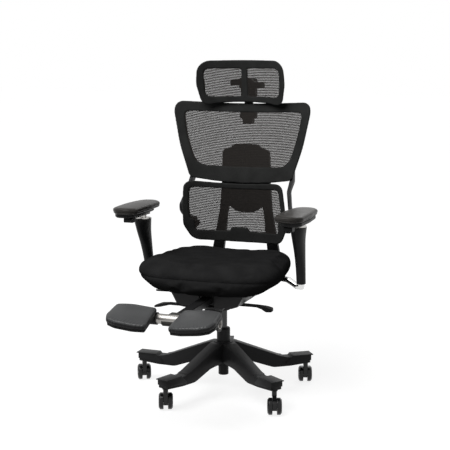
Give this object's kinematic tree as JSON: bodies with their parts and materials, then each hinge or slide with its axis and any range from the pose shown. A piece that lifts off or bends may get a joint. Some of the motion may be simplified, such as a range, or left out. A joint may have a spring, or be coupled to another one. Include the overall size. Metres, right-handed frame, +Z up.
{
  "type": "reclining office chair with footrest",
  "caption": "Mesh-backed swivel office chair with headrest, lumbar panel, adjustable arms, recline and a pull-out footrest with folding pads.",
  "frame": {"origin": "on the floor, under the gas column's axis", "axes": "+Z up, -Y the way the sitter faces, +X the sitter's left"},
  "size_m": [0.7339, 1.0003, 1.2218],
  "materials": {
    "nylon_black": "satin moulded black",
    "caster_black": "glossy black",
    "painted_black": "black powder coat",
    "piston_steel": "smooth black enamel",
    "grey_steel": "dark grey sheet steel",
    "polished_aluminium": "polished",
    "bright_steel": "bright tube",
    "seat_fabric": "black knitted fabric",
    "mesh_fabric": "black see-through mesh with a fabric border",
    "pad_leather": "black leather look",
    "arm_pad": "soft black moulded skin"
  },
  "bodies": {
    "base": {"base_star": "nylon_black", "leg_caps": "nylon_black", "column_tube": "painted_black", "column_guide": "nylon_black"},
    "column_rod": {"gas_rod": "bright_steel"},
    "chassis": {"gas_piston": "piston_steel", "tilt_housing": "painted_black", "pivot_pins": "bright_steel"},
    "tension_knob": {"tension_knob": "nylon_black"},
    "height_lever": {"height_lever": "nylon_black"},
    "tilt_lever": {"tilt_lever": "nylon_black"},
    "seat_carrier": {"seat_carrier": "painted_black", "footrest_rail": "nylon_black", "arm_bracket_left": "polished_aluminium", "arm_bracket_right": "polished_aluminium"},
    "slide_lever": {"slide_lever": "painted_black"},
    "seat": {"seat_pan": "nylon_black", "seat_cushion": "seat_fabric"},
    "footrest_slider": {"footrest_bar": "painted_black", "footrest_cover": "nylon_black", "footrest_cross_tube": "bright_steel"},
    "footrest_left": {"footrest_shell_left": "grey_steel", "footrest_pad_left": "pad_leather"},
    "arm_left": {"arm_sleeve_left": "nylon_black"},
    "arm_swivel_left": {"arm_swivel_plate_left": "grey_steel"},
    "arm_release_left": {"arm_release_left": "nylon_black"},
    "arm_pad_left": {"arm_pad_base_left": "nylon_black", "arm_pad_left": "arm_pad"},
    "footrest_right": {"footrest_shell_right": "grey_steel", "footrest_pad_right": "pad_leather"},
    "arm_right": {"arm_sleeve_right": "nylon_black"},
    "arm_swivel_right": {"arm_swivel_plate_right": "grey_steel"},
    "arm_release_right": {"arm_release_right": "nylon_black"},
    "arm_pad_right": {"arm_pad_base_right": "nylon_black", "arm_pad_right": "arm_pad"},
    "back": {"back_yoke": "nylon_black", "back_spine": "nylon_black"},
    "backrest": {"back_slider": "nylon_black", "upper_back_frame": "nylon_black", "upper_back_mesh": "mesh_fabric", "side_arm_left": "nylon_black", "side_arm_right": "nylon_black", "headrest_bracket": "nylon_black"},
    "lumbar": {"lumbar_frame": "nylon_black", "lumbar_mesh": "mesh_fabric"},
    "headrest_post": {"headrest_post": "nylon_black"},
    "headrest": {"headrest_yoke": "nylon_black", "headrest_pin": "bright_steel", "headrest_frame": "nylon_black", "headrest_mesh": "mesh_fabric"},
    "caster_1": {"caster_body_1": "caster_black"},
    "wheels_1": {"caster_wheels_1": "caster_black"},
    "caster_2": {"caster_body_2": "caster_black"},
    "wheels_2": {"caster_wheels_2": "caster_black"},
    "caster_3": {"caster_body_3": "caster_black"},
    "wheels_3": {"caster_wheels_3": "caster_black"},
    "caster_4": {"caster_body_4": "caster_black"},
    "wheels_4": {"caster_wheels_4": "caster_black"},
    "caster_5": {"caster_body_5": "caster_black"},
    "wheels_5": {"caster_wheels_5": "caster_black"}
  },
  "joints": [
    {"name": "column_swivel", "type": "hinge", "parent": "base", "child": "column_rod", "pos_m": [0, 0, 0.1], "axis": [0, 0, 1], "continuous": true},
    {"name": "column_lift", "type": "slide", "parent": "column_rod", "child": "chassis", "axis": [0, 0, 1], "range_m": [-0.09, 0.01]},
    {"name": "back_recline", "type": "hinge", "parent": "chassis", "child": "back", "pos_m": [0, 0.075, 0.35], "axis": [-1, 0, 0], "range_deg": [0, 30], "stiffness_Nm_per_rad": 45, "springref_deg": -28.65},
    {"name": "seat_tilt", "type": "hinge", "parent": "chassis", "child": "seat_carrier", "pos_m": [0, -0.12, 0.375], "axis": [-1, 0, 0], "range_deg": [0, 4.5]},
    {"name": "tension_knob_turn", "type": "hinge", "parent": "chassis", "child": "tension_knob", "pos_m": [0, -0.105, 0.328], "axis": [0, 0, 1], "range_deg": [-180, 180]},
    {"name": "height_lever_lift", "type": "hinge", "parent": "chassis", "child": "height_lever", "pos_m": [-0.071, -0.15, 0.346], "axis": [0, 1, 0], "range_deg": [0, 5], "stiffness_Nm_per_rad": 4, "springref_deg": -8.59},
    {"name": "tilt_lever_lift", "type": "hinge", "parent": "chassis", "child": "tilt_lever", "pos_m": [0.071, -0.06, 0.346], "axis": [0, -1, 0], "range_deg": [0, 5], "stiffness_Nm_per_rad": 4, "springref_deg": -8.59},
    {"name": "seat_depth", "type": "slide", "parent": "seat_carrier", "child": "seat", "axis": [0, -1, 0], "range_m": [-0.015, 0.035]},
    {"name": "slide_lever_swing", "type": "hinge", "parent": "seat_carrier", "child": "slide_lever", "pos_m": [-0.1445, -0.15, 0.397], "axis": [0, 0, -1], "range_deg": [0, 10], "stiffness_Nm_per_rad": 2, "springref_deg": -8.59},
    {"name": "footrest_extend", "type": "slide", "parent": "seat_carrier", "child": "footrest_slider", "axis": [0, 0.9997, 0.0262], "range_m": [0, 0.13]},
    {"name": "footrest_left_fold", "type": "hinge", "parent": "footrest_slider", "child": "footrest_left", "pos_m": [0.1, -0.497, 0.382], "axis": [1, 0, 0], "range_deg": [-190, 0]},
    {"name": "footrest_right_fold", "type": "hinge", "parent": "footrest_slider", "child": "footrest_right", "pos_m": [-0.1, -0.497, 0.382], "axis": [1, 0, 0], "range_deg": [-190, 0]},
    {"name": "arm_left_height", "type": "slide", "parent": "seat_carrier", "child": "arm_left", "axis": [0, -0.1564, 0.9877], "range_m": [0, 0.07]},
    {"name": "arm_left_swivel", "type": "hinge", "parent": "arm_left", "child": "arm_swivel_left", "pos_m": [0.301, -0.046, 0.64], "axis": [0, 0, 1], "range_deg": [-20, 20]},
    {"name": "arm_left_release", "type": "hinge", "parent": "arm_swivel_left", "child": "arm_release_left", "pos_m": [0.301, -0.146, 0.658], "axis": [-1, 0, 0], "range_deg": [0, 7], "stiffness_Nm_per_rad": 0.6, "springref_deg": -17.19},
    {"name": "arm_left_pad_slide", "type": "slide", "parent": "arm_swivel_left", "child": "arm_pad_left", "axis": [0, -1, 0], "range_m": [-0.025, 0.025]},
    {"name": "arm_right_height", "type": "slide", "parent": "seat_carrier", "child": "arm_right", "axis": [0, -0.1564, 0.9877], "range_m": [0, 0.07]},
    {"name": "arm_right_swivel", "type": "hinge", "parent": "arm_right", "child": "arm_swivel_right", "pos_m": [-0.301, -0.046, 0.64], "axis": [0, 0, -1], "range_deg": [-20, 20]},
    {"name": "arm_right_release", "type": "hinge", "parent": "arm_swivel_right", "child": "arm_release_right", "pos_m": [-0.301, -0.146, 0.658], "axis": [-1, 0, 0], "range_deg": [0, 7], "stiffness_Nm_per_rad": 0.6, "springref_deg": -17.19},
    {"name": "arm_right_pad_slide", "type": "slide", "parent": "arm_swivel_right", "child": "arm_pad_right", "axis": [0, -1, 0], "range_m": [-0.025, 0.025]},
    {"name": "back_height", "type": "slide", "parent": "back", "child": "backrest", "axis": [0, 0, 1], "range_m": [0, 0.045]},
    {"name": "lumbar_follow", "type": "hinge", "parent": "backrest", "child": "lumbar", "pos_m": [0, 0.172, 0.6], "axis": [1, 0, 0], "range_deg": [-7, 5], "stiffness_Nm_per_rad": 60},
    {"name": "headrest_height", "type": "slide", "parent": "backrest", "child": "headrest_post", "axis": [0, 0, 1], "range_m": [0, 0.04]},
    {"name": "headrest_tilt", "type": "hinge", "parent": "headrest_post", "child": "headrest", "pos_m": [0, 0.284, 1.132], "axis": [1, 0, 0], "range_deg": [-25, 3]},
    {"name": "caster_1_swivel", "type": "hinge", "parent": "base", "child": "caster_1", "pos_m": [-0.32498, 0.0034, 0.07], "axis": [0, 0, 1], "continuous": true},
    {"name": "wheels_1_roll", "type": "hinge", "parent": "caster_1", "child": "wheels_1", "pos_m": [-0.33531, 0.02283, 0.03], "axis": [0.8829, 0.4695, 0], "continuous": true},
    {"name": "caster_2_swivel", "type": "hinge", "parent": "base", "child": "caster_2", "pos_m": [-0.10366, -0.30802, 0.07], "axis": [0, 0, 1], "continuous": true},
    {"name": "wheels_2_roll", "type": "hinge", "parent": "caster_2", "child": "wheels_2", "pos_m": [-0.1119, -0.28763, 0.03], "axis": [0.9272, 0.3746, 0], "continuous": true},
    {"name": "caster_3_swivel", "type": "hinge", "parent": "base", "child": "caster_3", "pos_m": [0.26092, -0.19377, 0.07], "axis": [0, 0, 1], "continuous": true},
    {"name": "wheels_3_roll", "type": "hinge", "parent": "caster_3", "child": "wheels_3", "pos_m": [0.26844, -0.21445, 0.03], "axis": [-0.9397, -0.342, 0], "continuous": true},
    {"name": "caster_4_swivel", "type": "hinge", "parent": "base", "child": "caster_4", "pos_m": [0.26492, 0.18827, 0.07], "axis": [0, 0, 1], "continuous": true},
    {"name": "wheels_4_roll", "type": "hinge", "parent": "caster_4", "child": "wheels_4", "pos_m": [0.25739, 0.20894, 0.03], "axis": [0.9397, 0.342, 0], "continuous": true},
    {"name": "caster_5_swivel", "type": "hinge", "parent": "base", "child": "caster_5", "pos_m": [-0.09719, 0.31013, 0.07], "axis": [0, 0, 1], "continuous": true},
    {"name": "wheels_5_roll", "type": "hinge", "parent": "caster_5", "child": "wheels_5", "pos_m": [-0.10288, 0.33138, 0.03], "axis": [0.9659, 0.2588, 0], "continuous": true}
  ],
  "couplings": [
    {"joint": "seat_tilt", "follows": "back_recline", "ratio": 0.15}
  ]
}
